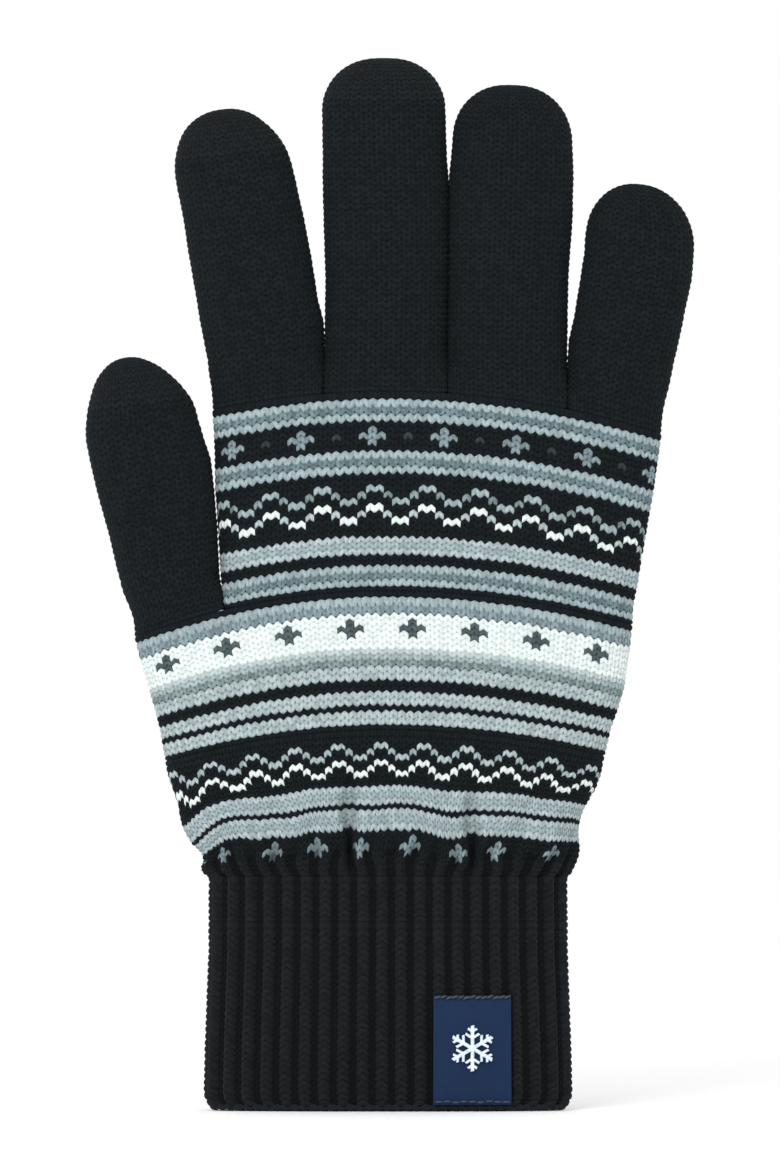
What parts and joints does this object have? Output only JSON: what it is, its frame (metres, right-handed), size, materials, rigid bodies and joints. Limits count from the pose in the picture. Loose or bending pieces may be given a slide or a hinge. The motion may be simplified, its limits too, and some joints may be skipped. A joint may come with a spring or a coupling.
{
  "type": "knitted touchscreen glove",
  "caption": "Knitted winter glove with patterned hand, ribbed elastic cuff, conductive fingertips, a hollow for each finger and joints at wrist, knuckles and fingers.",
  "frame": {"origin": "centre of the wrist opening, in the plane of the cuff's edge", "axes": "+Z from the wrist opening to the fingertips, -Y out of the back of the hand, +Y out of the palm, +X towards the little finger"},
  "size_m": [0.1298, 0.0226, 0.2256],
  "materials": {
    "black_yarn": "soft matt acrylic knit",
    "pattern_yarn": "black, grey and white jacquard knit",
    "conductive_yarn": "slightly glossy conductive knit",
    "elastic_thread": "covered elastic thread",
    "label_cloth": "satin woven label",
    "sewing_thread": "polyester sewing thread"
  },
  "bodies": {
    "cuff": {"cuff": "black_yarn", "cuff_edge": "black_yarn", "elastic_thread_1": "elastic_thread", "elastic_thread_2": "elastic_thread", "elastic_thread_3": "elastic_thread", "elastic_thread_4": "elastic_thread", "elastic_thread_5": "elastic_thread", "elastic_thread_6": "elastic_thread", "label": "label_cloth", "label_stitch_top": "sewing_thread", "label_stitch_bottom": "sewing_thread"},
    "hand": {"lower_hand": "pattern_yarn", "upper_hand": "pattern_yarn"},
    "index_proximal": {"index_proximal": "black_yarn"},
    "index_middle": {"index_middle": "black_yarn"},
    "index_distal": {"index_distal": "black_yarn", "index_touch_tip": "conductive_yarn"},
    "middle_proximal": {"middle_proximal": "black_yarn"},
    "middle_middle": {"middle_middle": "black_yarn"},
    "middle_distal": {"middle_distal": "black_yarn", "middle_touch_tip": "conductive_yarn"},
    "ring_proximal": {"ring_proximal": "black_yarn"},
    "ring_middle": {"ring_middle": "black_yarn"},
    "ring_distal": {"ring_distal": "black_yarn"},
    "little_proximal": {"little_proximal": "black_yarn"},
    "little_middle": {"little_middle": "black_yarn"},
    "little_distal": {"little_distal": "black_yarn"},
    "thumb_base": {"thumb_base": "black_yarn"},
    "thumb_tip": {"thumb_tip": "black_yarn", "thumb_touch_tip": "conductive_yarn"}
  },
  "joints": [
    {"name": "wrist_bend", "type": "hinge", "parent": "cuff", "child": "hand", "pos_m": [0, 0, 0.0505], "axis": [-1, 0, 0], "range_deg": [-50, 50]},
    {"name": "index_knuckle", "type": "hinge", "parent": "hand", "child": "index_proximal", "pos_m": [-0.0261, 0.002, 0.1562], "axis": [-1, 0, 0], "range_deg": [0, 75]},
    {"name": "index_middle_joint", "type": "hinge", "parent": "index_proximal", "child": "index_middle", "pos_m": [-0.02892, 0.002, 0.17852], "axis": [-1, 0, 0], "range_deg": [0, 90]},
    {"name": "index_tip_joint", "type": "hinge", "parent": "index_middle", "child": "index_distal", "pos_m": [-0.03129, 0.002, 0.19731], "axis": [-1, 0, 0], "range_deg": [0, 45]},
    {"name": "middle_knuckle", "type": "hinge", "parent": "hand", "child": "middle_proximal", "pos_m": [-0.0006, 0.002, 0.1562], "axis": [-1, 0, 0], "range_deg": [0, 75]},
    {"name": "middle_middle_joint", "type": "hinge", "parent": "middle_proximal", "child": "middle_middle", "pos_m": [-0.00083, 0.002, 0.18272], "axis": [-1, 0, 0], "range_deg": [0, 90]},
    {"name": "middle_tip_joint", "type": "hinge", "parent": "middle_middle", "child": "middle_distal", "pos_m": [-0.00103, 0.002, 0.20506], "axis": [-1, 0, 0], "range_deg": [0, 45]},
    {"name": "ring_knuckle", "type": "hinge", "parent": "hand", "child": "ring_proximal", "pos_m": [0.0258, 0.002, 0.1562], "axis": [-1, 0, 0], "range_deg": [0, 75]},
    {"name": "ring_middle_joint", "type": "hinge", "parent": "ring_proximal", "child": "ring_middle", "pos_m": [0.02648, 0.002, 0.18059], "axis": [-1, 0, 0], "range_deg": [0, 90]},
    {"name": "ring_tip_joint", "type": "hinge", "parent": "ring_middle", "child": "ring_distal", "pos_m": [0.02705, 0.002, 0.20112], "axis": [-1, 0, 0], "range_deg": [0, 45]},
    {"name": "little_knuckle", "type": "hinge", "parent": "hand", "child": "little_proximal", "pos_m": [0.0502, 0.002, 0.1562], "axis": [-1, 0, 0], "range_deg": [0, 75]},
    {"name": "little_middle_joint", "type": "hinge", "parent": "little_proximal", "child": "little_middle", "pos_m": [0.05191, 0.002, 0.17249], "axis": [-1, 0, 0], "range_deg": [0, 90]},
    {"name": "little_tip_joint", "type": "hinge", "parent": "little_middle", "child": "little_distal", "pos_m": [0.05335, 0.002, 0.18621], "axis": [-1, 0, 0], "range_deg": [0, 45]},
    {"name": "thumb_base_joint", "type": "hinge", "parent": "hand", "child": "thumb_base", "pos_m": [-0.0453, 0.002, 0.1043], "axis": [-0.9026, 0, -0.4305], "range_deg": [0, 60]},
    {"name": "thumb_tip_joint", "type": "hinge", "parent": "thumb_base", "child": "thumb_tip", "pos_m": [-0.04999, 0.002, 0.13089], "axis": [-0.9945, 0, -0.1045], "range_deg": [0, 75]}
  ],
  "couplings": [
    {"joint": "index_tip_joint", "follows": "index_middle_joint", "ratio": 0.5},
    {"joint": "middle_tip_joint", "follows": "middle_middle_joint", "ratio": 0.5},
    {"joint": "ring_tip_joint", "follows": "ring_middle_joint", "ratio": 0.5},
    {"joint": "little_tip_joint", "follows": "little_middle_joint", "ratio": 0.5}
  ]
}
